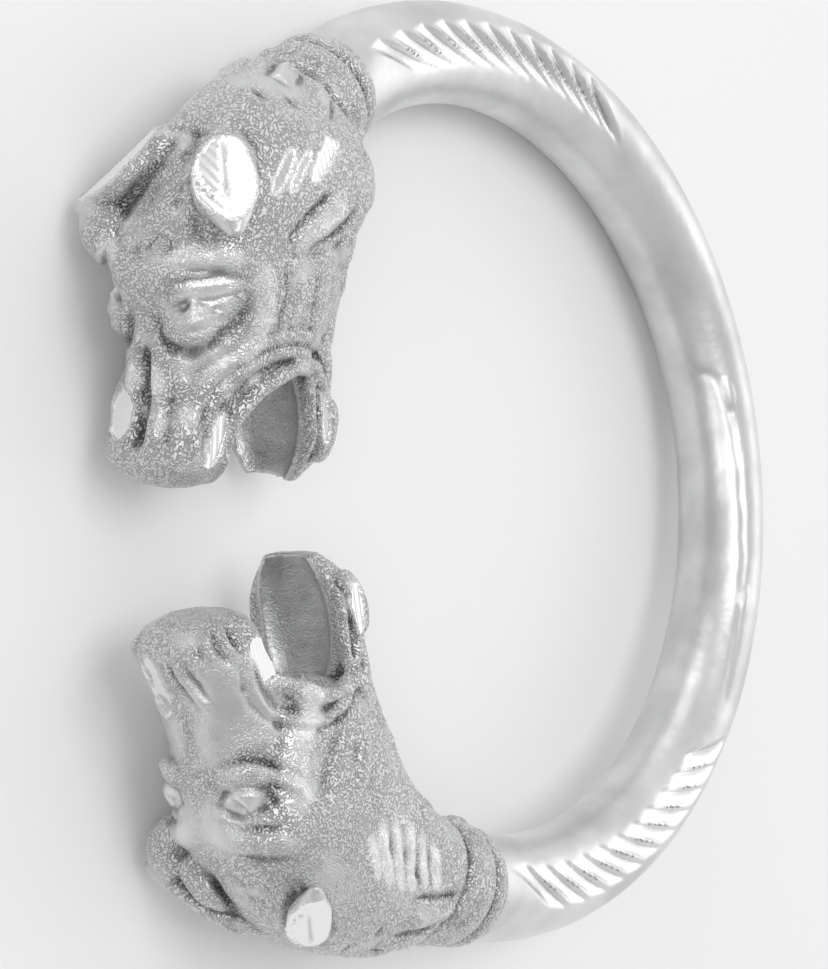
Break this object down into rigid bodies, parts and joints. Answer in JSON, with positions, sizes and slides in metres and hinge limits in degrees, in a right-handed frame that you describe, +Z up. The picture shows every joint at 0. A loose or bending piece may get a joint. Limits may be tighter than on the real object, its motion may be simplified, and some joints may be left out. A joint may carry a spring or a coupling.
{
  "type": "kada bangle",
  "caption": "Open round-bar silver bangle ending in beast heads, mouth to mouth, with beaded collars and slanted facets cut along the bar near them.",
  "frame": {"origin": "on the surface that the bangle rests on, below the middle of the hoop", "axes": "+Z up as the bangle lies on its side, the gap between the heads faces -Y, the head at +X is the lower one in the picture"},
  "size_m": [0.076, 0.079, 0.0174],
  "materials": {
    "silver": "pale cast silver: polished bar and mirror-cut facets, frosted and stippled heads"
  },
  "bodies": {
    "root": {"kada": "silver"}
  },
  "joints": []
}
